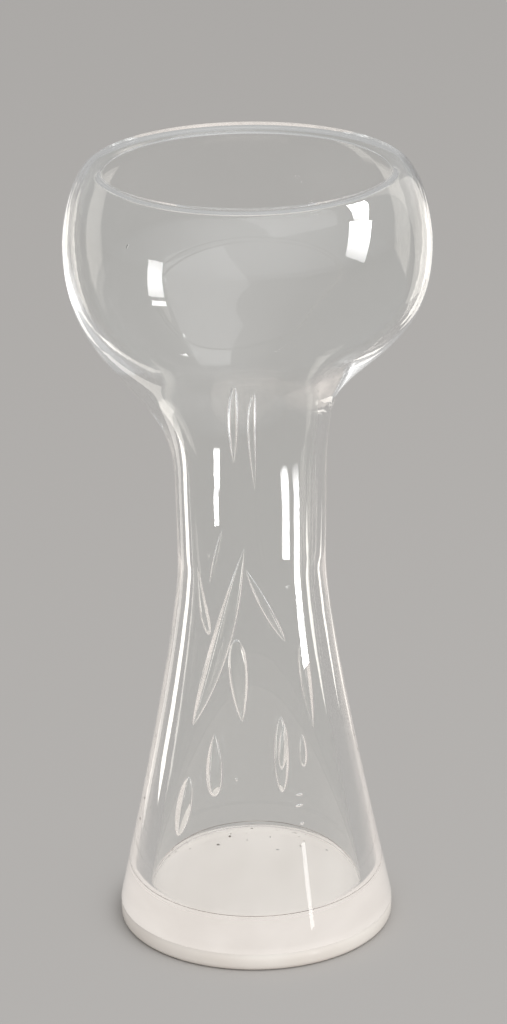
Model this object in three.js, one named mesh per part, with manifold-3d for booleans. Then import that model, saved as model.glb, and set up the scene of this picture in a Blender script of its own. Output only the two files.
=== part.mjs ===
// Blown glass vase: a clear inner gather, cased in a second clear gather with drops of air caught
// between the two, standing on a foot of opaque white glass.
// Millimetres, +Z up, origin at the centre of the foot's underside. The front faces -Y.
import * as THREE from "three";
import { mergeVertices } from "three/addons/utils/BufferGeometryUtils.js";
import Module from "manifold-3d";

// Lengths of the stretches, from the foot up
const FOOT_HEIGHT = 9.5;
const SKIRT_LENGTH = 187.2;
const NECK_LENGTH = 40.5;
const BOWL_DEPTH = 122.5;
const SHOULDER_HEIGHT = 40;
const LIP_DROP = 3.2;

// Outside radii where the stretches meet
const FOOT_RADIUS = 69.7;
const WAIST_RADIUS = 37.1;
const NECK_RADIUS = 37.7;
const BOWL_RADIUS = 90.2;
const LIP_RADIUS = 75;
const MOUTH_RADIUS = 69.5;
const FOOT_EDGE_RADIUS = 2.8;

// How far each stretch keeps its direction before it turns: lengths of the curves' handles
const SKIRT_STRAIGHT = 11;
const SKIRT_TAPER = 0.18;
const WAIST_TURN = 40;
const THROAT_TURN = 72;
const BOWL_TURN = 63;
const SHOULDER_TURN = 19;
const LIP_TURN = 7.5;
const LIP_ROLL = 3.7;

// Walls of the two layers at the foot, waist, neck, widest ring of the bowl, top of the lip and mouth
const CASING_WALL = { foot: 4.2, waist: 3.4, neck: 3.2, bowl: 1.8, lip: 1.3, mouth: 1.2 };
const GATHER_WALL = { foot: 9.5, waist: 3.3, neck: 3.1, bowl: 1.6, lip: 1.2, mouth: 1.2 };

// Thick bottom: the casing's floor, the gather's floor, and the rounding inside each cup
const CASING_FLOOR = 4.8;
const GATHER_FLOOR = 4.9;
const CASING_CORNER = 10;
const GATHER_CORNER = 8;

// Clearance between neighbouring layers
const LAYER_GAP = 0.3;

// Hand-blown lean: the rings under the bowl sit off the axis, most at one height above the neck
const LEAN = -6;
const LEAN_RISE = 54.5;
const LEAN_SPREAD = 26;

// Air drops: each end is a height from the waist, and a bearing in degrees from the front towards +X.
// A tip of 0 is round and a tip of 1 runs out to a point.
const DROP_SHARE = 0.6;
const DROP_FLATNESS = 0.42;
const DROPS = [
  { head: [113.5, -3.2], tail: [63, -10.4], tips: [0.2, 0.6], width: 5.1 },
  { head: [107.5, 5.5], tail: [48.5, 3.5], tips: [0, 0.8], width: 4.2 },
  { head: [-77, -42.4], tail: [18, -5.8], tips: [0.5, 1], width: 10.4 },
  { head: [-134.5, -43.8], tail: [-103.5, -41], tips: [0.2, 0.2], width: 9.2 },
  { head: [-110, -23.8], tail: [-78.5, -25.8], tips: [0, 0.7], width: 8.7 },
  { head: [-107.5, 15.8], tail: [-69.5, 17.9], tips: [0.2, 0.3], width: 7.5 },
  { head: [-96.5, 30.4], tail: [-80, 31.5], tips: [0, 0.5], width: 4.2 },
  { head: [-34, 38.6], tail: [-79, 40.4], tips: [0.2, 1], width: 6.7 },
  { head: [-3, -36.8], tail: [26.5, -24.1], tips: [0.6, 0.6], width: 2.2 },
  { head: [-32, 24.8], tail: [6.5, -5.3], tips: [0.4, 0.8], width: 5 },
  { head: [-61, 194.7], tail: [-111.5, 188.3], tips: [0, 0.7], width: 12 },
  { head: [-53.5, 222.6], tail: [-7, 256], tips: [0, 0.8], width: 8 },
];

// Fineness of the facets
const SIDES = 48;
const STEPS = { skirt: 7, neck: 1, bowl: 8, shoulder: 6, lip: 3, corner: 3, edge: 3 };
const DROP_SIDES = 8;
const DROP_RINGS = 8;

const seam = FOOT_HEIGHT + LAYER_GAP;
const waistHeight = seam + SKIRT_LENGTH;
const neckHeight = waistHeight + NECK_LENGTH;
const bowlHeight = neckHeight + BOWL_DEPTH;
const lipHeight = bowlHeight + SHOULDER_HEIGHT;
const leanHeight = neckHeight + LEAN_RISE;
const gatherBottom = seam + CASING_FLOOR + LAYER_GAP;
const cavityFloor = gatherBottom + GATHER_FLOOR;

// A ring's facets lie between its circle and this share of it, so their mean follows the gap round.
const facetShare = Math.cos(Math.PI / SIDES);
const facetMean = (1 + facetShare) / 2;

const wasm = await Module();
wasm.setup();

const at = (radius, height) => new THREE.Vector2(radius, height);
const leanAt = (height) => LEAN * Math.exp(-(((height - leanHeight) / LEAN_SPREAD) ** 2));

// The outside as one smooth line from the seam to the mouth, one curve per stretch.
function outsideStretches() {
  const foot = at(FOOT_RADIUS, seam);
  const waist = at(WAIST_RADIUS, waistHeight);
  const neck = at(NECK_RADIUS, neckHeight);
  const bowl = at(BOWL_RADIUS, bowlHeight);
  const lip = at(LIP_RADIUS, lipHeight);
  const mouth = at(MOUTH_RADIUS, lipHeight - LIP_DROP);
  const skirtHandle = at(FOOT_RADIUS - SKIRT_TAPER * SKIRT_STRAIGHT, seam + SKIRT_STRAIGHT);
  const waistHandle = at(WAIST_RADIUS, waistHeight - WAIST_TURN);
  const throatHandle = at(NECK_RADIUS, neckHeight + THROAT_TURN);
  const bowlHandle = at(BOWL_RADIUS, bowlHeight - BOWL_TURN);
  const shoulderHandle = at(BOWL_RADIUS, bowlHeight + SHOULDER_TURN);
  const lipHandle = at(LIP_RADIUS + LIP_TURN, lipHeight);
  const rollHandle = at(LIP_RADIUS - LIP_ROLL, lipHeight);
  const skirtCurve = new THREE.CubicBezierCurve(foot, skirtHandle, waistHandle, waist);
  const neckLine = new THREE.LineCurve(waist, neck);
  const bowlCurve = new THREE.CubicBezierCurve(neck, throatHandle, bowlHandle, bowl);
  const shoulderCurve = new THREE.CubicBezierCurve(bowl, shoulderHandle, lipHandle, lip);
  const lipCurve = new THREE.QuadraticBezierCurve(lip, rollHandle, mouth);
  return [
    { from: "foot", to: "waist", steps: STEPS.skirt, curve: skirtCurve },
    { from: "waist", to: "neck", steps: STEPS.neck, curve: neckLine },
    { from: "neck", to: "bowl", steps: STEPS.bowl, curve: bowlCurve },
    { from: "bowl", to: "lip", steps: STEPS.shoulder, curve: shoulderCurve },
    { from: "lip", to: "mouth", steps: STEPS.lip, curve: lipCurve },
  ];
}

// Points along the outside, each with its inward direction and the two layers' walls there.
function outsideStations() {
  const stations = [];
  for (const { from, to, steps, curve } of outsideStretches()) {
    for (let step = stations.length ? 1 : 0; step <= steps; step++) {
      const share = step / steps;
      const along = curve.getTangent(share);
      stations.push({
        point: curve.getPoint(share),
        inward: at(-along.y, along.x),
        casing: THREE.MathUtils.lerp(CASING_WALL[from], CASING_WALL[to], share),
        gather: THREE.MathUtils.lerp(GATHER_WALL[from], GATHER_WALL[to], share),
      });
    }
  }
  return stations;
}

// A line inside the outside, as deep at each station as depthOf says.
function lineInside(stations, depthOf) {
  return stations.map((station) => station.point.clone().addScaledVector(station.inward, depthOf(station)));
}

// The inside of a cup: from the axis along a flat floor and round a corner to its wall line.
function cupInside(wall, floor, corner) {
  const cut = wall.findIndex((point) => point.y > floor + corner);
  const [below, above] = [wall[cut - 1], wall[cut]];
  const meet = below.clone().lerp(above, (floor + corner - below.y) / (above.y - below.y));
  const foot = below.clone().lerp(above, (floor - below.y) / (above.y - below.y));
  const round = new THREE.QuadraticBezierCurve(at(foot.x - corner, floor), foot, meet);
  return [at(0, floor), ...round.getPoints(STEPS.corner), ...wall.slice(cut)];
}

// A solid turned from a profile that starts and ends on the axis, leaned like blown glass.
function turned(profile) {
  const geometry = new THREE.LatheGeometry(profile, SIDES).rotateX(Math.PI / 2);
  const places = geometry.getAttribute("position");
  for (let i = 0; i < places.count; i++) {
    places.setX(i, places.getX(i) + leanAt(places.getZ(i)));
  }
  return solidFrom(geometry);
}

function solidFrom(geometry) {
  geometry.deleteAttribute("normal");
  geometry.deleteAttribute("uv");
  const merged = mergeVertices(geometry);
  const corners = merged.index.array;
  const kept = [];
  for (let i = 0; i < corners.length; i += 3) {
    const [a, b, c] = corners.slice(i, i + 3);
    if (a !== b && b !== c && c !== a) kept.push(a, b, c);
  }
  const vertProperties = merged.getAttribute("position").array;
  return new wasm.Manifold(new wasm.Mesh({ numProp: 3, vertProperties, triVerts: new Uint32Array(kept) }));
}

function geometryFrom(solid) {
  const { vertProperties, triVerts } = solid.getMesh();
  const geometry = new THREE.BufferGeometry();
  geometry.setAttribute("position", new THREE.BufferAttribute(vertProperties, 3));
  geometry.setIndex(new THREE.BufferAttribute(triVerts, 1));
  geometry.computeVertexNormals();
  return geometry;
}

// The wall at a height: the middle of the gap between the layers, which way is in, and each layer's wall.
function wallAt(stations, height) {
  const next = Math.max(1, stations.findIndex((station) => station.point.y > height));
  const [low, high] = [stations[next - 1], stations[next]];
  const share = (height - low.point.y) / (high.point.y - low.point.y);
  const casing = THREE.MathUtils.lerp(low.casing, high.casing, share);
  const gather = THREE.MathUtils.lerp(low.gather, high.gather, share);
  const inward = low.inward.clone().lerp(high.inward, share);
  const meeting = low.point.clone().lerp(high.point, share).addScaledVector(inward, casing + LAYER_GAP / 2);
  return { casing, gather, inward, meeting };
}

// How wide a drop is on the way from its head to its tail, as a share of its widest place.
function dropSwell(way, [headTip, tailTip]) {
  const head = (1 + headTip) / 2;
  const tail = (1 + tailTip) / 2;
  const widest = head / (head + tail);
  return (way / widest) ** head * ((1 - way) / (1 - widest)) ** tail;
}

// One air drop: a flat ball drawn out along the wall, in a straight line where the rings lean.
function drop(stations, { head, tail, tips, width }) {
  const [headRise, headBearing] = head;
  const [tailRise, tailBearing] = tail;
  const [headLean, tailLean] = [headRise, tailRise].map((rise) => leanAt(waistHeight + rise));
  const ball = new THREE.SphereGeometry(1, DROP_SIDES, DROP_RINGS);
  const places = ball.getAttribute("position");
  for (let i = 0; i < places.count; i++) {
    const way = (1 - places.getY(i)) / 2;
    const turn = Math.atan2(places.getZ(i), places.getX(i));
    const swell = dropSwell(way, tips);
    const wall = wallAt(stations, waistHeight + THREE.MathUtils.lerp(headRise, tailRise, way));
    const through = Math.sin(turn) * swell;
    const layer = through < 0 ? wall.gather : wall.casing;
    const inset = -through * Math.min(DROP_SHARE * layer, DROP_FLATNESS * width);
    const point = wall.meeting.clone().addScaledVector(wall.inward, inset);
    const radius = point.x * facetMean;
    const middle = THREE.MathUtils.degToRad(THREE.MathUtils.lerp(headBearing, tailBearing, way));
    const bow = THREE.MathUtils.lerp(headLean, tailLean, way) - leanAt(point.y);
    const aside = bow * Math.cos(middle) + (Math.cos(turn) * swell * width) / 2;
    const bearing = middle + aside / radius;
    const x = radius * Math.sin(bearing) + leanAt(point.y);
    places.setXYZ(i, x, -radius * Math.cos(bearing), point.y);
  }
  return facingOut(ball);
}

// A solid whose faces point out, whichever way its rings run.
function facingOut(geometry) {
  const solid = solidFrom(geometry);
  if (solid.volume() > 0) return solid;
  const corners = geometry.index.array;
  for (let i = 0; i < corners.length; i += 3) {
    [corners[i + 1], corners[i + 2]] = [corners[i + 2], corners[i + 1]];
  }
  return solidFrom(geometry);
}

function named(name, geometry, finish) {
  const mesh = new THREE.Mesh(geometry, new THREE.MeshStandardMaterial(finish));
  mesh.name = name;
  return mesh;
}

function outerCasing(stations, drops) {
  const outside = stations.map((station) => station.point);
  const inside = cupInside(lineInside(stations, (s) => s.casing), gatherBottom - LAYER_GAP, CASING_CORNER);
  const solid = turned([at(0, seam), ...outside, ...inside.reverse()]);
  const finish = { color: 0xe6efec, roughness: 0.04, metalness: 0, transparent: true, opacity: 0.3 };
  return named("outer_casing", geometryFrom(drops.reduce((rest, air) => rest.subtract(air), solid)), finish);
}

function innerGather(stations, drops) {
  const outer = lineInside(stations, (s) => s.casing + LAYER_GAP);
  const inner = lineInside(stations, (s) => s.casing + LAYER_GAP + s.gather);
  const outside = cupInside(outer, gatherBottom, CASING_CORNER);
  const inside = cupInside(inner, cavityFloor, GATHER_CORNER);
  const solid = turned([...outside, ...inside.reverse()]);
  const finish = { color: 0xe9f1ee, roughness: 0.04, metalness: 0, transparent: true, opacity: 0.3 };
  return named("inner_gather", geometryFrom(drops.reduce((rest, air) => rest.subtract(air), solid)), finish);
}

function whiteFoot() {
  const edge = [];
  for (let step = 0; step <= STEPS.edge; step++) {
    const turn = (step / STEPS.edge) * (Math.PI / 2);
    const radius = FOOT_RADIUS - FOOT_EDGE_RADIUS * (1 - Math.sin(turn));
    edge.push(at(radius, FOOT_EDGE_RADIUS * (1 - Math.cos(turn))));
  }
  const solid = turned([at(0, 0), ...edge, at(FOOT_RADIUS, FOOT_HEIGHT), at(0, FOOT_HEIGHT)]);
  return named("white_foot", geometryFrom(solid), { color: 0xf3f0e8, roughness: 0.18, metalness: 0 });
}

const stations = outsideStations();
const drops = DROPS.map((size) => drop(stations, size));

const vase = new THREE.Group();
vase.name = "blown_glass_vase";
vase.add(whiteFoot(), outerCasing(stations, drops), innerGather(stations, drops));

export default vase;
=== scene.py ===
"""Looks of the blown glass vase: clear glass with air drops caught in its wall, on a foot of white glass.

Metres, +Z up, the front faces -Y. Lengths of the vase are written in millimetres and scaled by MM.
"""

import math

import bpy
from mathutils import Matrix, Quaternion, Vector, noise


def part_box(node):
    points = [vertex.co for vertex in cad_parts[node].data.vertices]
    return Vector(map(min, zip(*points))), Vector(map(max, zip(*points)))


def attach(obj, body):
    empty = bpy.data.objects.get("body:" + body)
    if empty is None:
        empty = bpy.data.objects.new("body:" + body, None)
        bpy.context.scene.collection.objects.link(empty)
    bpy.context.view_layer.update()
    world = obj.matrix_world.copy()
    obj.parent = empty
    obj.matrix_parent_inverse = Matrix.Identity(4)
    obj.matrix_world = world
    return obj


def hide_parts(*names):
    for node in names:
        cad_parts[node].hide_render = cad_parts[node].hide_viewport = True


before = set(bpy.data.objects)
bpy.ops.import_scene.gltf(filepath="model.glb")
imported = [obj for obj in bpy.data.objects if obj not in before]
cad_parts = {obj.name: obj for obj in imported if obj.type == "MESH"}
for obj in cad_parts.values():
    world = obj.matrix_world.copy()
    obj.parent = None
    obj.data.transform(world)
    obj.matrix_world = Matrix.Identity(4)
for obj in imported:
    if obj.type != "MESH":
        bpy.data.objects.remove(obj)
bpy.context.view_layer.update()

MM = 0.001

# Sizes that the frame gives
foot_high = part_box("white_foot")[1]
casing_low, casing_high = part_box("outer_casing")
FOOT_RADIUS = foot_high.x / MM
FOOT_HEIGHT = foot_high.z / MM
SEAM = casing_low.z / MM
BOWL_RADIUS = casing_high.y / MM
LIP_HEIGHT = casing_high.z / MM

# Heights and outside radii where the stretches of the vase meet
CAVITY_FLOOR = SEAM + 10
WAIST_HEIGHT = SEAM + 187.2
NECK_HEIGHT = WAIST_HEIGHT + 40.5
BOWL_HEIGHT = LIP_HEIGHT - 40
MOUTH_HEIGHT = LIP_HEIGHT - 3.2
WAIST_RADIUS = 37.1
NECK_RADIUS = 37.7
LIP_RADIUS = 75
MOUTH_RADIUS = 69.5

# Lengths of the curves' handles
SKIRT_STRAIGHT = 11
SKIRT_TAPER = 0.18
WAIST_TURN = 40
THROAT_TURN = 72
BOWL_TURN = 63
SHOULDER_TURN = 19
LIP_TURN = 7.5
LIP_ROLL = 3.7

# Whole wall of the fused glass, the depth in it of the layer of air drops, the rounding of the lip's end,
# and the rounding inside the bottom
WALL = {"foot": 14, "waist": 7, "neck": 6.6, "bowl": 3.7, "lip": 2.8, "mouth": 2.7}
DROP_DEPTH = {"foot": 4.35, "waist": 3.55, "neck": 3.35, "bowl": 1.95, "lip": 1.45, "mouth": 1.35}
LIP_ROUNDING = 0.9
CAVITY_CORNER = 8

# Hand-blown lean of the rings under the bowl
LEAN = -6
LEAN_HEIGHT = NECK_HEIGHT + 54.5
LEAN_SPREAD = 26

# Hand-blown waviness of the two faces of the wall: depth, waves round the vase and length up it
OUTER_WAVE = 0.12
INNER_WAVE = 0.14
WAVE_ROUND = 1.3
WAVE_LENGTH = 70
WAVE_FADE = 40
INNER_WAVE_OFFSET = 9

# Air drops: each end is a height from the waist, and a bearing in degrees from the front towards +X.
# A tip of 0 is round and a tip of 1 runs out to a point. A sink of 1 is the usual depth in the wall, and
# a share of that depth is the most that a drop may reach to either side of it.
DROP_SHARE = 0.6
DROP_FLATNESS = 0.22
DROPS = [
    {"head": (113.5, -3.2), "tail": (63, -10.4), "tips": (0.2, 0.6), "width": 5.1},
    {"head": (107.5, 5.5), "tail": (48.5, 3.5), "tips": (0, 0.8), "width": 4.2},
    {"head": (-77, -42.4), "tail": (18, -5.8), "tips": (0.5, 1), "width": 10.4},
    {"head": (-134.5, -43.8), "tail": (-103.5, -41), "tips": (0.2, 0.2), "width": 9.2},
    {"head": (-110, -23.8), "tail": (-78.5, -25.8), "tips": (0, 0.7), "width": 8.7},
    {"head": (-107.5, 15.8), "tail": (-69.5, 17.9), "tips": (0.2, 0.3), "width": 7.5, "sink": 1.2},
    {"head": (-95.5, 15.7), "tail": (-73.5, 19), "tips": (0.2, 0.3), "width": 5, "sink": 0.4, "share": 0.3},
    {"head": (-96.5, 30.4), "tail": (-80, 31.5), "tips": (0, 0.5), "width": 4.2},
    {"head": (-34, 38.6), "tail": (-79, 40.4), "tips": (0.2, 1), "width": 6.7},
    {"head": (-3, -36.8), "tail": (26.5, -24.1), "tips": (0.6, 0.6), "width": 2.2},
    {"head": (-32, 24.8), "tail": (6.5, -5.3), "tips": (0.4, 0.8), "width": 5},
    {"head": (-61, 194.7), "tail": (-111.5, 188.3), "tips": (0, 0.7), "width": 12},
    {"head": (-53.5, 222.6), "tail": (-7, 256), "tips": (0, 0.8), "width": 8},
]

# Needles of air at the right of the neck, and small seeds
NEEDLE_TIPS = (0.5, 0.5)
NEEDLES = [
    {"head": (64, 44), "tail": (8, 45), "width": 0.7},
    {"head": (60, 48), "tail": (-2, 47), "width": 0.9},
    {"head": (58, 51), "tail": (14, 51.5), "width": 0.6},
    {"head": (62, 54.5), "tail": (-8, 52), "width": 0.8},
    {"head": (55, 58), "tail": (2, 57), "width": 0.7},
    {"head": (61, 61), "tail": (20, 60.5), "width": 0.6},
    {"head": (48, 64), "tail": (-10, 60), "width": 0.8},
]
SEED_TIPS = (0, 0)
SEEDS = [
    {"head": (10.4, -37.1), "tail": (12, -37), "width": 1},
    {"head": (-101, -10.7), "tail": (-99.4, -10.6), "width": 1.3},
    {"head": (-110.5, 25.6), "tail": (-109.3, 25.7), "width": 3.6},
    {"head": (-116, 24.8), "tail": (-114.6, 24.8), "width": 4},
    {"head": (-125.2, 25.5), "tail": (-123.8, 25.5), "width": 2.2},
    {"head": (181.8, -40.4), "tail": (184, -40.2), "width": 1.4},
]

# Fineness of the meshes
SIDES = 240
STEPS = {"skirt": 40, "neck": 8, "bowl": 36, "shoulder": 20, "lip": 8, "corner": 40, "floor": 8, "round": 4}
FOOT_EDGE_STEPS = 8
DROP_SIDES = 16
DROP_RINGS = 24

# White foot: its edge, and how far its top is sunk into the clear glass and set in from its rim
FOOT_EDGE = 2.8
FUSED_DEPTH = 0.15
FUSED_INSET = 0.25

# Thin dark line where the floor of the cavity turns up into the wall, a painted shade that stands for the
# dark surroundings seen refracted in that corner: its step in the rounded corner
PAINTED_SHADE_STEP = 30

# Materials: patterns in waves per metre, heights of bumps in metres, and stops of each ramp from low to high.
# Clear glass has drawn streaks, a slow ripple and a faint bloom.
GLASS_INDEX = 1.5
GLASS_COLOUR = (0.985, 0.992, 0.988, 1)
STREAK_WAVES = 260
STREAK_STRETCH = (1, 1, 0.03)
STREAK_HEIGHT = 0.00001
RIPPLE_WAVES = 45
RIPPLE_HEIGHT = 0.00003
BLOOM_WAVES = 30
BLOOM_ROUGHNESS = [(0.45, 0), (0.75, 0.012)]

# The painted shade line round the cavity's floor is darker and lighter by turns
PAINTED_SHADE_WAVES = 60
PAINTED_SHADE_COLOURS = [(0.35, (0.13, 0.1, 0.085)), (0.65, (0.42, 0.37, 0.33))]
LINE_GRAIN_WAVES = 200
LINE_ROUGHNESS = [(0.3, 0.4), (0.7, 0.7)]

# White glass has faint clouds, a painted shade along its seam by height in millimetres, where the clear glass
# above would shade it, a varied gloss, and dimples
CLOUD_WAVES = 25
CLOUD_COLOURS = [(0.35, (0.82, 0.76, 0.7)), (0.65, (0.88, 0.83, 0.77))]
PAINTED_SEAM_SHADE = [(FOOT_HEIGHT - 1.1, 1), (FOOT_HEIGHT - 0.6, 0.8)]
GLOSS_WAVES = 60
GLOSS_ROUGHNESS = [(0.3, 0.12), (0.7, 0.22)]
DIMPLE_WAVES = 120
DIMPLE_HEIGHT = 0.00004

# The fused top of the white glass has swirls, and dark specks behind a depth in metres
SWIRL_WAVES = 40
SWIRL_STRETCH = (1, 0.4, 1)
SWIRL_DETAIL = 4
SWIRL_COLOURS = [(0.3, (0.79, 0.73, 0.68)), (0.7, (0.87, 0.81, 0.76))]
SPECK_WAVES = 300
SPECK_COLOURS = [(0.2, (0.2, 0.17, 0.15)), (0.23, 1)]
SPECK_FREE = [(0.03, 1), (0.04, 0)]

# Camera: place in metres, focal length in pixels of the picture, and turns in radians
PICTURE_HEIGHT = 1024
FOCAL_PIXELS = 3976
CAMERA_PLACE = Vector((0, -1.8456, 0.9339))
CAMERA_PITCH = 0.369
CAMERA_YAW = 0.0006
CAMERA_ROLL = 0.0132
SENSOR_HEIGHT = 24

# Studio, in metres. Each window is a bright panel that shows only in the outer face of the glass. It stands
# at a bearing from the front, and its beam, of a spread in degrees, falls on the place where it shows.
FULL_SPREAD = 180
FLOOR_REACH = 6
FLOOR_SIDES = 96
KEY = {"place": (1.2, -1.4, 2.4), "aim": (0, 0, 0.2), "size": (2.4, 2.4), "radiance": 1.2}
WINDOW_RADIANCE = 18
WINDOW_SPREAD = 44
WINDOWS = [
    {"name": "bowl_left", "bearing": -48, "reach": 0.25, "rise": (0.302, 0.384), "width": 0.038,
     "aim": (-0.042, -0.079, 0.367)},
    {"name": "bowl_left_sill", "bearing": -47, "reach": 0.25, "rise": (0.284, 0.293), "width": 0.036,
     "aim": (-0.042, -0.08, 0.357)},
    {"name": "bowl_right", "bearing": 63.1, "reach": 0.279, "rise": (0.357, 0.474), "width": 0.07,
     "aim": (0.07, -0.103, 0.332), "roll": -32, "radiance": 36, "spread": 70},
    {"name": "bowl_right_top", "bearing": 73.8, "reach": 0.231, "rise": (0.429, 0.571), "width": 0.052,
     "aim": (0.053, -0.097, 0.388), "roll": -42, "radiance": 80, "spread": 48},
    {"name": "neck_left_top", "bearing": -48, "reach": 0.2, "rise": (0.015, 0.105), "width": 0.036,
     "aim": (-0.016, -0.036, 0.259), "radiance": 60, "spread": 18},
    {"name": "neck_left_middle", "bearing": -48, "reach": 0.2, "rise": (0.105, 0.157), "width": 0.034,
     "aim": (-0.016, -0.035, 0.252), "radiance": 50, "spread": 20},
    {"name": "neck_left_end", "bearing": -49.5, "reach": 0.2, "rise": (0.157, 0.182), "width": 0.024,
     "aim": (-0.016, -0.034, 0.237), "radiance": 50, "spread": 18},
    {"name": "neck_right_near", "bearing": 49.5, "reach": 0.2, "rise": (0.138, 0.186), "width": 0.042,
     "aim": (0.016, -0.034, 0.243), "radiance": 50, "spread": 17},
    {"name": "neck_right_far", "bearing": 67.5, "reach": 0.2, "rise": (0.124, 0.185), "width": 0.034,
     "aim": (0.022, -0.031, 0.198), "radiance": 36, "spread": 34},
    {"name": "foot_right", "bearing": 41, "reach": 0.25, "rise": (0.003, 0.048), "width": 0.014,
     "aim": (0.026, -0.057, 0.041), "radiance": 6, "spread": 60},
]

# Each card is an upright panel beside the vase, over a stretch of the depth behind it. It lights the edge
# lines inside the glass, unless its light doesn't go through.
CARD_COLOUR = (1, 0.95, 0.88)
CARDS = [
    {"name": "left_neck_card", "x": -0.17, "back": (0.11, 0.17), "rise": (0, 0.18), "radiance": 1.1},
    {"name": "left_bowl_card", "x": -0.17, "back": (0.16, 0.31), "rise": (0.18, 0.33), "radiance": 1.2},
    {"name": "right_neck_card", "x": 0.18, "back": (0.23, 0.41), "rise": (0, 0.05), "radiance": 1.1},
    {"name": "right_bowl_card", "x": 0.18, "back": (0.16, 0.31), "rise": (0.18, 0.33), "radiance": 1.2},
    {"name": "right_veil", "x": 0.2, "back": (0.04, 0.2), "rise": (0.26, 0.6), "radiance": 0.9,
     "through": False},
]

# The sky's grey by how near a direction is to its brightest place
SKY_TOWARDS = Vector((0.3, -0.65, 0.7)).normalized()
SKY = [(0, 0.45), (0.5, 0.5), (0.75, 0.7), (1, 1.3)]
FLOOR_COLOUR = (0.47, 0.455, 0.44, 1)

# Light turns very often inside the wall of the lip and the throat before it leaves the glass
GLASS_TURNS = 512
DIFFUSE_TURNS = 8


def bezier(points, share):
    """A point and its direction on a curve of two, three or four control points."""
    level = [Vector(p) for p in points]
    while len(level) > 2:
        level = [a.lerp(b, share) for a, b in zip(level, level[1:])]
    return level[0].lerp(level[1], share), (level[1] - level[0]).normalized()


def outside_stretches():
    """The outside from the seam to the mouth: names, steps and control points of each stretch."""
    foot = (FOOT_RADIUS, SEAM)
    waist = (WAIST_RADIUS, WAIST_HEIGHT)
    neck = (NECK_RADIUS, NECK_HEIGHT)
    bowl = (BOWL_RADIUS, BOWL_HEIGHT)
    lip = (LIP_RADIUS, LIP_HEIGHT)
    mouth = (MOUTH_RADIUS, MOUTH_HEIGHT)
    skirt_handle = (FOOT_RADIUS - SKIRT_TAPER * SKIRT_STRAIGHT, SEAM + SKIRT_STRAIGHT)
    waist_handle = (WAIST_RADIUS, WAIST_HEIGHT - WAIST_TURN)
    throat_handle = (NECK_RADIUS, NECK_HEIGHT + THROAT_TURN)
    bowl_handle = (BOWL_RADIUS, BOWL_HEIGHT - BOWL_TURN)
    shoulder_handle = (BOWL_RADIUS, BOWL_HEIGHT + SHOULDER_TURN)
    lip_handle = (LIP_RADIUS + LIP_TURN, LIP_HEIGHT)
    roll_handle = (LIP_RADIUS - LIP_ROLL, LIP_HEIGHT)
    return [
        ("foot", "waist", STEPS["skirt"], (foot, skirt_handle, waist_handle, waist)),
        ("waist", "neck", STEPS["neck"], (waist, neck)),
        ("neck", "bowl", STEPS["bowl"], (neck, throat_handle, bowl_handle, bowl)),
        ("bowl", "lip", STEPS["shoulder"], (bowl, shoulder_handle, lip_handle, lip)),
        ("lip", "mouth", STEPS["lip"], (lip, roll_handle, mouth)),
    ]


def outside_stations():
    """Points along the outside, each with its direction, its inward direction, and the depths there."""
    stations = []
    for start, end, steps, points in outside_stretches():
        for step in range(1 if stations else 0, steps + 1):
            share = step / steps
            place, along = bezier(points, share)
            inward = Vector((-along.y, along.x))
            wall = WALL[start] + share * (WALL[end] - WALL[start])
            drops = DROP_DEPTH[start] + share * (DROP_DEPTH[end] - DROP_DEPTH[start])
            stations.append({"place": place, "along": along, "inward": inward})
            stations[-1].update(wall=wall, drops=drops)
    return stations


def lip_end(last):
    """The flat end of the lip with its two rounded edges, from the outer face to the inner one."""
    place, inward, along = last["place"], last["inward"], last["along"]
    points = []
    for step in range(1, STEPS["round"] + 1):
        turn = math.pi / 2 * step / STEPS["round"]
        across = LIP_ROUNDING * (1 - math.cos(turn))
        points.append(place + inward * across + along * LIP_ROUNDING * math.sin(turn))
    for step in range(STEPS["round"]):
        turn = math.pi / 2 * step / STEPS["round"]
        across = last["wall"] - LIP_ROUNDING * (1 - math.sin(turn))
        points.append(place + inward * across + along * LIP_ROUNDING * math.cos(turn))
    return points


def cavity_line(stations):
    """The inside from the lip down the wall, round the corner and along the floor to the axis."""
    wall = [s["place"] + s["inward"] * s["wall"] for s in stations]
    cut = next(i for i, p in enumerate(wall) if p.y > CAVITY_FLOOR + CAVITY_CORNER)
    below, above = wall[cut - 1], wall[cut]
    meet = below.lerp(above, (CAVITY_FLOOR + CAVITY_CORNER - below.y) / (above.y - below.y))
    corner = below.lerp(above, (CAVITY_FLOOR - below.y) / (above.y - below.y))
    turn = ((corner.x - CAVITY_CORNER, CAVITY_FLOOR), corner, meet)
    rounded = [bezier(turn, i / STEPS["corner"])[0] for i in range(STEPS["corner"] + 1)]
    floor = [Vector((rounded[0].x * i / STEPS["floor"], CAVITY_FLOOR)) for i in range(STEPS["floor"])]
    return list(reversed(floor + rounded + wall[cut:]))


def lean_at(height):
    """How far the ring at a height stands aside."""
    return LEAN * math.exp(-(((height - LEAN_HEIGHT) / LEAN_SPREAD) ** 2))


def on_ring(radius, height, bearing):
    """A point at a radius and a bearing in radians from the front, with the lean of its height."""
    return Vector((radius * math.sin(bearing) + lean_at(height), -radius * math.cos(bearing), height))


def wave(bearing, height, depth, offset):
    """How far a blown face lies inside its true circle here."""
    fade = min(1, max(0, (height - SEAM) / WAVE_FADE))
    across = Vector((math.cos(bearing), math.sin(bearing), 0)) * WAVE_ROUND
    up = Vector((0, 0, height / WAVE_LENGTH + offset))
    return depth * fade * (0.5 + 0.5 * noise.noise(across + up))


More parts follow.
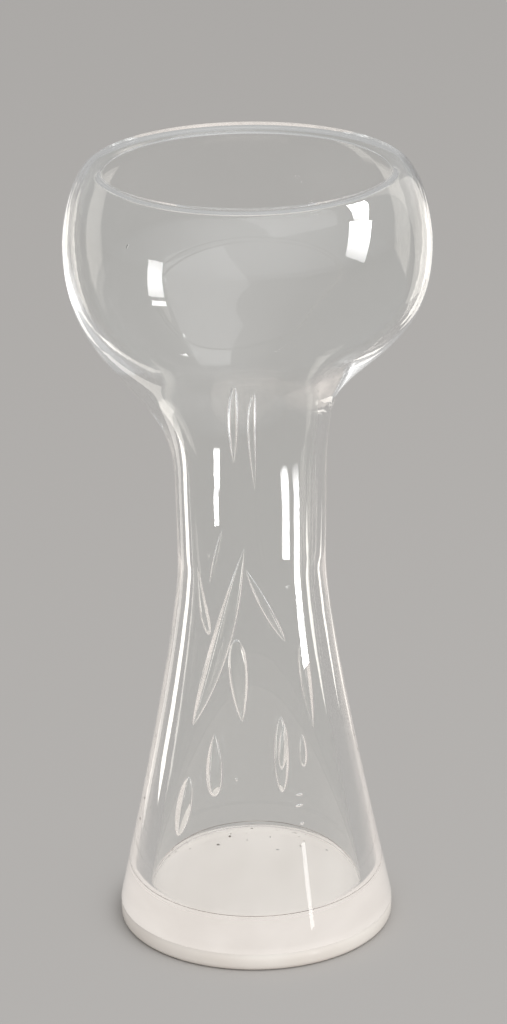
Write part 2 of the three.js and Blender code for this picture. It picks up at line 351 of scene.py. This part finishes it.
class Body:
    """Vertices and faces of one mesh, gathered shell by shell."""

    def __init__(self):
        self.points = []
        self.faces = []
        self.marks = []

    def turn(self, profile, place, mark_of):
        """A profile of radii and heights turned about the axis; points on the axis close the ends."""
        rings = []
        for index, (radius, height) in enumerate(profile):
            first = len(self.points)
            count = SIDES if radius > 0 else 1
            for side in range(count):
                self.points.append(place(index, radius, height, 2 * math.pi * side / SIDES))
            rings.append((first, count))
        for index, ((low, low_count), (high, high_count)) in enumerate(zip(rings, rings[1:])):
            for side in range(SIDES):
                after = (side + 1) % SIDES
                corners = [low + side % low_count, low + after % low_count]
                corners += [high + after % high_count, high + side % high_count]
                self.faces.append(list(dict.fromkeys(corners)))
                self.marks.append(mark_of(index))

    def ball(self, place, sides, rings):
        """A closed shell of rings between two poles, faced inwards."""
        first = len(self.points)
        self.points.append(place(0, 0))
        for ring in range(1, rings):
            way = (1 - math.cos(math.pi * ring / rings)) / 2
            for side in range(sides):
                self.points.append(place(way, 2 * math.pi * side / sides))
        self.points.append(place(1, 0))
        last = len(self.points) - 1
        final_ring = last - sides
        for side in range(sides):
            after = (side + 1) % sides
            self.faces.append([first, first + 1 + side, first + 1 + after])
            self.faces.append([last, final_ring + after, final_ring + side])
            for ring in range(rings - 2):
                low = first + 1 + ring * sides
                self.faces.append([low + side, low + sides + side, low + sides + after, low + after])
        self.marks.extend([0] * (len(self.faces) - len(self.marks)))

    def piece(self, name, materials):
        """The gathered mesh as an object, with its marks as places in the list of materials."""
        mesh = bpy.data.meshes.new(name)
        mesh.from_pydata([tuple(p * MM) for p in self.points], [], self.faces)
        for material in materials:
            mesh.materials.append(material)
        mesh.polygons.foreach_set("material_index", self.marks)
        mesh.shade_smooth()
        made = bpy.data.objects.new(name, mesh)
        bpy.context.scene.collection.objects.link(made)
        return made


def drop_layer_at(stations, height):
    """The outer face at a height, the inward direction, and the depth of the layer of air drops."""
    index = next(i for i, s in enumerate(stations) if s["place"].y > height)
    low, high = stations[index - 1], stations[index]
    share = (height - low["place"].y) / (high["place"].y - low["place"].y)
    depth = low["drops"] + share * (high["drops"] - low["drops"])
    inward = low["inward"].lerp(high["inward"], share)
    return low["place"].lerp(high["place"], share), inward, depth


def drop_swell(way, tips):
    """How wide a drop is on the way from its head to its tail, as a share of its widest place."""
    head, tail = ((1 + tip) / 2 for tip in tips)
    widest = head / (head + tail)
    return (way / widest) ** head * ((1 - way) / (1 - widest)) ** tail


def add_drop(body, stations, drop):
    """One air drop: a flat hollow drawn out along the wall from its head to its tail."""
    (head_rise, head_bearing), (tail_rise, tail_bearing) = drop["head"], drop["tail"]
    width = drop["width"]
    hand = 1 if head_rise > tail_rise else -1
    head_lean = lean_at(WAIST_HEIGHT + head_rise)
    tail_lean = lean_at(WAIST_HEIGHT + tail_rise)

    def place(way, turn):
        swell = drop_swell(way, drop["tips"])
        height = WAIST_HEIGHT + head_rise + way * (tail_rise - head_rise)
        outer, inward, depth = drop_layer_at(stations, height)
        thick = min(drop.get("share", DROP_SHARE) * depth, DROP_FLATNESS * width)
        point = outer + inward * (drop.get("sink", 1) * depth - math.sin(turn) * swell * thick)
        bearing = math.radians(head_bearing + way * (tail_bearing - head_bearing))
        bow = head_lean + way * (tail_lean - head_lean) - lean_at(height)
        bearing += bow * math.cos(bearing) / point.x
        bearing += hand * math.cos(turn) * swell * width / 2 / point.x
        return on_ring(point.x, point.y, bearing)

    body.ball(place, DROP_SIDES, DROP_RINGS)


def glass_body(material, painted_shade_material):
    """The fused clear glass: outside, lip, cavity, underside, and the air drops as hollows in the wall."""
    stations = outside_stations()
    outside = [s["place"] for s in stations]
    end = lip_end(stations[-1])
    shares = [i / STEPS["floor"] for i in range(STEPS["floor"] + 1)]
    underside = [Vector((FOOT_RADIUS * share, FOOT_HEIGHT)) for share in shares]
    profile = underside + outside + end + cavity_line(stations)
    first_outside = len(underside)
    first_inside = first_outside + len(outside) + len(end) // 2
    # The ring of faces in the cavity's corner that takes the painted shade line
    painted_shade_ring = len(profile) - STEPS["floor"] - PAINTED_SHADE_STEP

    def place(index, radius, height, bearing):
        if index < first_outside:
            return on_ring(radius, height, bearing)
        if index < first_inside:
            return on_ring(radius - wave(bearing, height, OUTER_WAVE, 0), height, bearing)
        depth = wave(bearing, height, INNER_WAVE, INNER_WAVE_OFFSET)
        return on_ring(max(0, radius - depth), height, bearing)

    body = Body()
    body.turn([(p.x, p.y) for p in profile], place, lambda index: 1 if index == painted_shade_ring else 0)
    for drop in DROPS:
        add_drop(body, stations, drop)
    for needle in NEEDLES:
        add_drop(body, stations, {**needle, "tips": NEEDLE_TIPS})
    for seed in SEEDS:
        add_drop(body, stations, {**seed, "tips": SEED_TIPS})
    return body.piece("glass_body", [material, painted_shade_material])


def white_foot(outside_material, fused_material):
    """The white foot: a flat underside, a rounded edge, a plain band and a top fused into the glass."""
    flat = FOOT_RADIUS - FOOT_EDGE
    profile = [(flat * i / STEPS["floor"], 0) for i in range(STEPS["floor"])]
    for step in range(FOOT_EDGE_STEPS + 1):
        turn = math.pi / 2 * step / FOOT_EDGE_STEPS
        profile.append((flat + FOOT_EDGE * math.sin(turn), FOOT_EDGE * (1 - math.cos(turn))))
    profile.append((FOOT_RADIUS, FOOT_HEIGHT))
    last_outside = len(profile) - 1
    fused = FOOT_RADIUS - FUSED_INSET
    for step in range(STEPS["floor"] + 1):
        profile.append((fused * (1 - step / STEPS["floor"]), FOOT_HEIGHT + FUSED_DEPTH))

    def place(index, radius, height, bearing):
        return Vector((radius * math.sin(bearing), -radius * math.cos(bearing), height))

    body = Body()
    body.turn(profile, place, lambda index: 1 if index >= last_outside else 0)
    return body.piece("white_glass_foot", [outside_material, fused_material])


def fill_ramp(node, stops):
    """Set the stops of a colour ramp, each a position and a grey or a colour."""
    elements = node.color_ramp.elements
    while len(elements) < len(stops):
        elements.new(1)
    for element, (position, colour) in zip(elements, stops):
        element.position = position
        element.color = (*colour, 1) if isinstance(colour, tuple) else (colour, colour, colour, 1)


class Look:
    """A material and short ways to add nodes to it."""

    def __init__(self, name):
        self.material = bpy.data.materials.new(name)
        self.material.use_nodes = True
        self.nodes = self.material.node_tree.nodes
        self.links = self.material.node_tree.links
        self.shader = self.nodes["Principled BSDF"]
        self.place = self.nodes.new("ShaderNodeTexCoord").outputs["Object"]

    def set(self, **values):
        """Uniform values on the shader's own sockets, named with underscores for spaces."""
        for name, value in values.items():
            self.shader.inputs[name.replace("_", " ")].default_value = value

    def noise(self, scale, stretch=(1, 1, 1), detail=2):
        """Noise in the object's own frame, with waves per metre and a stretch for each axis."""
        mapping = self.nodes.new("ShaderNodeMapping")
        mapping.inputs["Scale"].default_value = stretch
        texture = self.nodes.new("ShaderNodeTexNoise")
        texture.inputs["Scale"].default_value = scale
        texture.inputs["Detail"].default_value = detail
        self.links.new(self.place, mapping.inputs["Vector"])
        self.links.new(mapping.outputs["Vector"], texture.inputs["Vector"])
        return texture.outputs["Fac"]

    def part_of_place(self, axis):
        """One coordinate of the place in the object's own frame, in metres."""
        split = self.nodes.new("ShaderNodeSeparateXYZ")
        self.links.new(self.place, split.inputs["Vector"])
        return split.outputs[axis]

    def ramp(self, value, stops):
        """The colour of a ramp at a value."""
        node = self.nodes.new("ShaderNodeValToRGB")
        fill_ramp(node, stops)
        self.links.new(value, node.inputs["Fac"])
        return node.outputs["Color"]

    def blend(self, kind, first, second):
        """Two colours blended at full strength."""
        node = self.nodes.new("ShaderNodeMix")
        node.data_type = "RGBA"
        node.blend_type = kind
        node.inputs["Factor"].default_value = 1
        self.links.new(first, node.inputs["A"])
        self.links.new(second, node.inputs["B"])
        return node.outputs["Result"]

    def bump(self, height, distance, before=None):
        """A bump of a height in metres, over an earlier bump if there is one."""
        node = self.nodes.new("ShaderNodeBump")
        node.inputs["Distance"].default_value = distance
        self.links.new(height, node.inputs["Height"])
        if before:
            self.links.new(before, node.inputs["Normal"])
        return node.outputs["Normal"]

    def feed(self, name, value):
        self.links.new(value, self.shader.inputs[name])


def clear_glass():
    """Clear soda glass: drawn streaks up the neck and skirt, a slow ripple and a faint bloom."""
    look = Look("clear_glass")
    look.set(Base_Color=GLASS_COLOUR, IOR=GLASS_INDEX, Transmission_Weight=1)
    streaks = look.noise(STREAK_WAVES, stretch=STREAK_STRETCH)
    ripple = look.bump(look.noise(RIPPLE_WAVES), RIPPLE_HEIGHT)
    look.feed("Normal", look.bump(streaks, STREAK_HEIGHT, ripple))
    look.feed("Roughness", look.ramp(look.noise(BLOOM_WAVES), BLOOM_ROUGHNESS))
    return look.material


def painted_shade_line():
    """Painted shade: the thin dark line round the floor of the cavity, which stands for the dark surroundings
    seen refracted in its corner, darker and lighter by turns.
    """
    look = Look("painted_shade_line")
    look.feed("Base Color", look.ramp(look.noise(PAINTED_SHADE_WAVES), PAINTED_SHADE_COLOURS))
    look.feed("Roughness", look.ramp(look.noise(LINE_GRAIN_WAVES), LINE_ROUGHNESS))
    return look.material


def white_glass():
    """Opaque white glass: warm white with faint clouds, painted shade along the seam, a glossy face and
    slight dimples.
    """
    look = Look("white_glass")
    look.set(IOR=GLASS_INDEX)
    whites = look.ramp(look.noise(CLOUD_WAVES), CLOUD_COLOURS)
    # Painted shade: the band darkens towards its top, along the seam under the clear glass
    seam = look.ramp(look.part_of_place("Z"), [(height * MM, shade) for height, shade in PAINTED_SEAM_SHADE])
    look.feed("Base Color", look.blend("MULTIPLY", whites, seam))
    look.feed("Roughness", look.ramp(look.noise(GLOSS_WAVES), GLOSS_ROUGHNESS))
    look.feed("Normal", look.bump(look.noise(DIMPLE_WAVES), DIMPLE_HEIGHT))
    return look.material


def white_glass_fused():
    """The top of the white glass, fused into the clear: faint swirls, dark specks at the back, no gloss."""
    look = Look("white_glass_fused")
    look.set(Roughness=1, Specular_IOR_Level=0)
    swirls = look.noise(SWIRL_WAVES, stretch=SWIRL_STRETCH, detail=SWIRL_DETAIL)
    whites = look.ramp(swirls, SWIRL_COLOURS)
    specks = look.ramp(look.noise(SPECK_WAVES, detail=0), SPECK_COLOURS)
    plain = look.ramp(look.part_of_place("Y"), SPECK_FREE)
    look.feed("Base Color", look.blend("MULTIPLY", whites, look.blend("LIGHTEN", specks, plain)))
    return look.material


def pale_floor():
    """A wide round floor without gloss."""
    mesh = bpy.data.meshes.new("floor")
    turns = [2 * math.pi * side / FLOOR_SIDES for side in range(FLOOR_SIDES)]
    points = [(FLOOR_REACH * math.cos(turn), FLOOR_REACH * math.sin(turn), 0) for turn in turns]
    mesh.from_pydata(points, [], [list(range(FLOOR_SIDES))])
    floor = bpy.data.objects.new("floor", mesh)
    bpy.context.scene.collection.objects.link(floor)
    look = Look("pale_floor")
    look.set(Base_Color=FLOOR_COLOUR, Roughness=1, Specular_IOR_Level=0)
    mesh.materials.append(look.material)


def world_light():
    """A soft sky that is brightest over the camera's right shoulder."""
    world = bpy.data.worlds.new("studio")
    bpy.context.scene.world = world
    world.use_nodes = True
    nodes, links = world.node_tree.nodes, world.node_tree.links
    place = nodes.new("ShaderNodeTexCoord")
    towards = nodes.new("ShaderNodeVectorMath")
    towards.operation = "DOT_PRODUCT"
    towards.inputs[1].default_value = SKY_TOWARDS
    share = nodes.new("ShaderNodeMapRange")
    share.inputs["From Min"].default_value = -1
    ramp = nodes.new("ShaderNodeValToRGB")
    links.new(place.outputs["Generated"], towards.inputs[0])
    links.new(towards.outputs["Value"], share.inputs["Value"])
    links.new(share.outputs["Result"], ramp.inputs["Fac"])
    links.new(ramp.outputs["Color"], nodes["Background"].inputs["Color"])
    fill_ramp(ramp, SKY)


def beam_gain(spread):
    """How much brighter a panel is straight ahead when its light is gathered into a beam of this spread."""
    half = math.radians(spread) / 2
    return 1 if spread >= FULL_SPREAD else math.tan(half) / (math.tan(half) - half)


def panel(name, place, aim, size, radiance, roll=0, spread=FULL_SPREAD, colour=(1, 1, 1)):
    """A soft panel that faces its aim, never seen by the camera itself."""
    light = bpy.data.lights.new(name, "AREA")
    light.shape = "RECTANGLE"
    light.size, light.size_y = size
    light.spread = math.radians(spread)
    light.energy = radiance * math.pi * size[0] * size[1] / beam_gain(spread)
    light.color = colour
    lamp = bpy.data.objects.new(name, light)
    bpy.context.scene.collection.objects.link(lamp)
    lamp.location = place
    facing = (Vector(aim) - Vector(place)).to_track_quat("-Z", "Y")
    lamp.rotation_euler = (facing @ Quaternion((0, 0, 1), math.radians(roll))).to_euler()
    lamp.visible_camera = False
    return lamp


def lights():
    """The key light, the windows and the cards."""
    key = panel("key", KEY["place"], KEY["aim"], KEY["size"], KEY["radiance"])
    key.visible_glossy = False
    for window in WINDOWS:
        turn = math.radians(window["bearing"])
        low, high = window["rise"]
        place = (window["reach"] * math.sin(turn), -window["reach"] * math.cos(turn), (low + high) / 2)
        radiance = window.get("radiance", WINDOW_RADIANCE)
        spread = window.get("spread", WINDOW_SPREAD)
        size = (window["width"], high - low)
        lamp = panel(window["name"], place, window["aim"], size, radiance, window.get("roll", 0), spread)
        lamp.visible_diffuse = False
        lamp.visible_transmission = False
    for card in CARDS:
        (near, far), (low, high) = card["back"], card["rise"]
        place = (card["x"], (near + far) / 2, (low + high) / 2)
        aim = (0, place[1], place[2])
        size = (far - near, high - low)
        lamp = panel(card["name"], place, aim, size, card["radiance"], colour=CARD_COLOUR)
        lamp.visible_diffuse = False
        lamp.visible_transmission = card.get("through", True)


def camera():
    """The camera at the photograph's place, turned by its yaw, pitch and roll."""
    flat = Vector((math.sin(CAMERA_YAW), math.cos(CAMERA_YAW), 0))
    up = Vector((0, 0, 1))
    ahead = math.cos(CAMERA_PITCH) * flat - math.sin(CAMERA_PITCH) * up
    above = math.sin(CAMERA_PITCH) * flat + math.cos(CAMERA_PITCH) * up
    beside = ahead.cross(above)
    right = math.cos(CAMERA_ROLL) * beside - math.sin(CAMERA_ROLL) * above
    top = math.sin(CAMERA_ROLL) * beside + math.cos(CAMERA_ROLL) * above
    lens = bpy.data.cameras.new("camera")
    lens.sensor_fit = "VERTICAL"
    lens.sensor_height = SENSOR_HEIGHT
    lens.lens = FOCAL_PIXELS / PICTURE_HEIGHT * SENSOR_HEIGHT
    eye = bpy.data.objects.new("camera", lens)
    bpy.context.scene.collection.objects.link(eye)
    eye.matrix_world = Matrix.Translation(CAMERA_PLACE) @ Matrix((right, top, -ahead)).transposed().to_4x4()
    bpy.context.scene.camera = eye


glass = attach(glass_body(clear_glass(), painted_shade_line()), "root")
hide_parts("outer_casing", "inner_gather")

# The clear glass casts no shadow, so the white top under it and the floor round it keep their light
glass.visible_shadow = False
glass.visible_diffuse = False

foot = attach(white_foot(white_glass(), white_glass_fused()), "root")
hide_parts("white_foot")

pale_floor()
world_light()
lights()
camera()
bpy.context.scene.view_settings.view_transform = "Standard"
bpy.context.scene.cycles.max_bounces = GLASS_TURNS
bpy.context.scene.cycles.transmission_bounces = GLASS_TURNS
bpy.context.scene.cycles.glossy_bounces = GLASS_TURNS
bpy.context.scene.cycles.diffuse_bounces = DIFFUSE_TURNS
